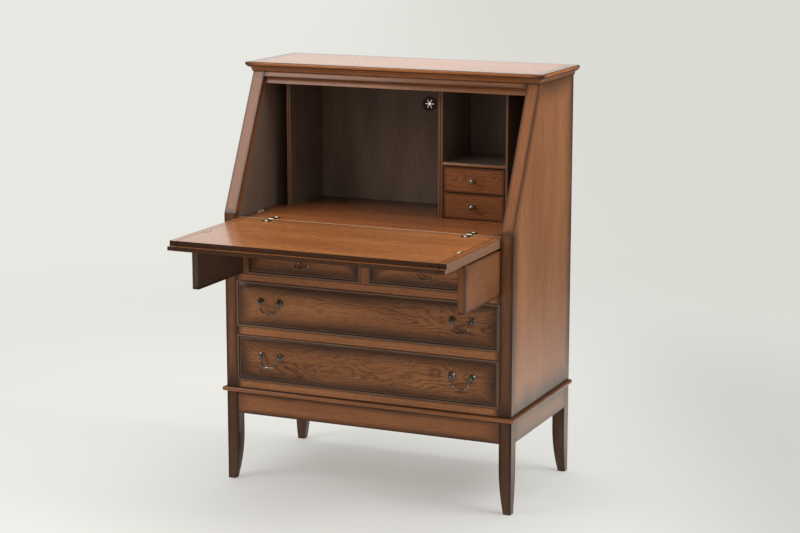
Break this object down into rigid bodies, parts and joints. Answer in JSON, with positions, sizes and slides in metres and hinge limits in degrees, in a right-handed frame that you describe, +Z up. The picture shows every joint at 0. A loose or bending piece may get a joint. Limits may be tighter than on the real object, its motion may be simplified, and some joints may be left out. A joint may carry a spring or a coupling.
{
  "type": "escritoire",
  "caption": "Slant-front writing bureau in stained oak with a hinged fall on pull-out lopers, drawers with swinging bails, inner pigeonholes and curved legs.",
  "frame": {"origin": "on the floor, at the middle of the desk's width and halfway between the open fall's front edge and the back of the case", "axes": "+X to the user's right hand as they face the desk, +Y away from the user to the back, +Z up"},
  "size_m": [0.832, 0.782, 1.091],
  "materials": {
    "stained_oak": "reddish-brown stain with darkened edges under satin lacquer",
    "drawer_front_oak": "reddish-brown stain, flame grain, dark shaded edges under satin lacquer",
    "interior_oak": "reddish-brown stain under satin lacquer",
    "drawer_lining_wood": "pale clear-sealed wood",
    "antique_bronze": "darkened antique finish, brighter where it is handled",
    "polished_brass": "polished",
    "grommet_rubber": "matt"
  },
  "bodies": {
    "case": {"top_board": "stained_oak", "cornice_moulding": "stained_oak", "side_panel_left": "stained_oak", "side_panel_right": "stained_oak", "front_stile_left": "stained_oak", "front_stile_right": "stained_oak", "slant_stile_left": "stained_oak", "slant_stile_right": "stained_oak", "top_rail": "stained_oak", "fall_stop": "interior_oak", "back_panel": "interior_oak", "desk_floor": "interior_oak", "divider_left": "interior_oak", "divider_right": "interior_oak", "slot_partition": "interior_oak", "pigeonhole_shelf": "interior_oak", "drawer_partitions": "interior_oak", "front_rails": "stained_oak", "dust_board": "drawer_lining_wood", "drawer_runners": "drawer_lining_wood", "cock_beads": "stained_oak", "base_board": "stained_oak", "leg_front_left": "stained_oak", "leg_front_right": "stained_oak", "leg_back_left": "stained_oak", "leg_back_right": "stained_oak", "aprons": "stained_oak", "grommet_ring": "grommet_rubber", "grommet_membrane": "grommet_rubber", "loper_stop_pins": "polished_brass", "hinge_case_leaves": "polished_brass"},
    "fall": {"fall_panel": "stained_oak", "fall_cleats": "stained_oak", "catch_plates": "polished_brass", "hinge_fall_leaves": "polished_brass"},
    "loper_left": {"loper_left": "stained_oak"},
    "loper_right": {"loper_right": "stained_oak"},
    "lower_drawer": {"lower_drawer_front": "drawer_front_oak", "lower_drawer_box": "drawer_lining_wood", "lower_drawer_handle_posts": "antique_bronze"},
    "upper_drawer": {"upper_drawer_front": "drawer_front_oak", "upper_drawer_box": "drawer_lining_wood", "upper_drawer_handle_posts": "antique_bronze"},
    "small_left_drawer": {"small_left_drawer_front": "drawer_front_oak", "small_left_drawer_box": "drawer_lining_wood", "small_left_drawer_handle_posts": "antique_bronze"},
    "small_right_drawer": {"small_right_drawer_front": "drawer_front_oak", "small_right_drawer_box": "drawer_lining_wood", "small_right_drawer_handle_posts": "antique_bronze"},
    "pigeonhole_drawer_upper": {"pigeonhole_drawer_upper": "drawer_front_oak", "pigeonhole_drawer_upper_knob": "antique_bronze"},
    "pigeonhole_drawer_lower": {"pigeonhole_drawer_lower": "drawer_front_oak", "pigeonhole_drawer_lower_knob": "antique_bronze"},
    "lower_drawer_bail_left": {"lower_drawer_bail_left": "antique_bronze"},
    "lower_drawer_bail_right": {"lower_drawer_bail_right": "antique_bronze"},
    "upper_drawer_bail_left": {"upper_drawer_bail_left": "antique_bronze"},
    "upper_drawer_bail_right": {"upper_drawer_bail_right": "antique_bronze"},
    "small_left_drawer_bail": {"small_left_drawer_bail": "antique_bronze"},
    "small_right_drawer_bail": {"small_right_drawer_bail": "antique_bronze"},
    "drawer_key": {"drawer_key": "antique_bronze"}
  },
  "joints": [
    {"name": "fall_hinge", "type": "hinge", "parent": "case", "child": "fall", "pos_m": [0, -0.01565, 0.702], "axis": [-1, 0, 0], "range_deg": [0, 116.1]},
    {"name": "loper_left_slide", "type": "slide", "parent": "case", "child": "loper_left", "axis": [0, 1, 0], "range_m": [0, 0.232]},
    {"name": "loper_right_slide", "type": "slide", "parent": "case", "child": "loper_right", "axis": [0, 1, 0], "range_m": [0, 0.232]},
    {"name": "lower_drawer_slide", "type": "slide", "parent": "case", "child": "lower_drawer", "axis": [0, 1, 0], "range_m": [-0.28, 0]},
    {"name": "upper_drawer_slide", "type": "slide", "parent": "case", "child": "upper_drawer", "axis": [0, 1, 0], "range_m": [-0.28, 0]},
    {"name": "small_left_drawer_slide", "type": "slide", "parent": "case", "child": "small_left_drawer", "axis": [0, 1, 0], "range_m": [-0.26, 0]},
    {"name": "small_right_drawer_slide", "type": "slide", "parent": "case", "child": "small_right_drawer", "axis": [0, 1, 0], "range_m": [-0.26, 0]},
    {"name": "pigeonhole_drawer_upper_slide", "type": "slide", "parent": "case", "child": "pigeonhole_drawer_upper", "axis": [0, 1, 0], "range_m": [-0.13, 0]},
    {"name": "pigeonhole_drawer_lower_slide", "type": "slide", "parent": "case", "child": "pigeonhole_drawer_lower", "axis": [0, 1, 0], "range_m": [-0.13, 0]},
    {"name": "lower_drawer_bail_left_swing", "type": "hinge", "parent": "lower_drawer", "child": "lower_drawer_bail_left", "pos_m": [-0.268, -0.053, 0.344], "axis": [-1, 0, 0], "range_deg": [0, 85]},
    {"name": "lower_drawer_bail_right_swing", "type": "hinge", "parent": "lower_drawer", "child": "lower_drawer_bail_right", "pos_m": [0.268, -0.053, 0.344], "axis": [-1, 0, 0], "range_deg": [0, 85]},
    {"name": "upper_drawer_bail_left_swing", "type": "hinge", "parent": "upper_drawer", "child": "upper_drawer_bail_left", "pos_m": [-0.268, -0.053, 0.488], "axis": [-1, 0, 0], "range_deg": [0, 85]},
    {"name": "upper_drawer_bail_right_swing", "type": "hinge", "parent": "upper_drawer", "child": "upper_drawer_bail_right", "pos_m": [0.268, -0.053, 0.488], "axis": [-1, 0, 0], "range_deg": [0, 85]},
    {"name": "small_left_drawer_bail_swing", "type": "hinge", "parent": "small_left_drawer", "child": "small_left_drawer_bail", "pos_m": [-0.1725, -0.053, 0.616], "axis": [-1, 0, 0], "range_deg": [0, 85]},
    {"name": "small_right_drawer_bail_swing", "type": "hinge", "parent": "small_right_drawer", "child": "small_right_drawer_bail", "pos_m": [0.1725, -0.053, 0.616], "axis": [-1, 0, 0], "range_deg": [0, 85]},
    {"name": "drawer_key_turn", "type": "hinge", "parent": "small_left_drawer", "child": "drawer_key", "pos_m": [-0.1725, -0.04, 0.608], "axis": [0, -1, 0], "range_deg": [0, 90]}
  ]
}
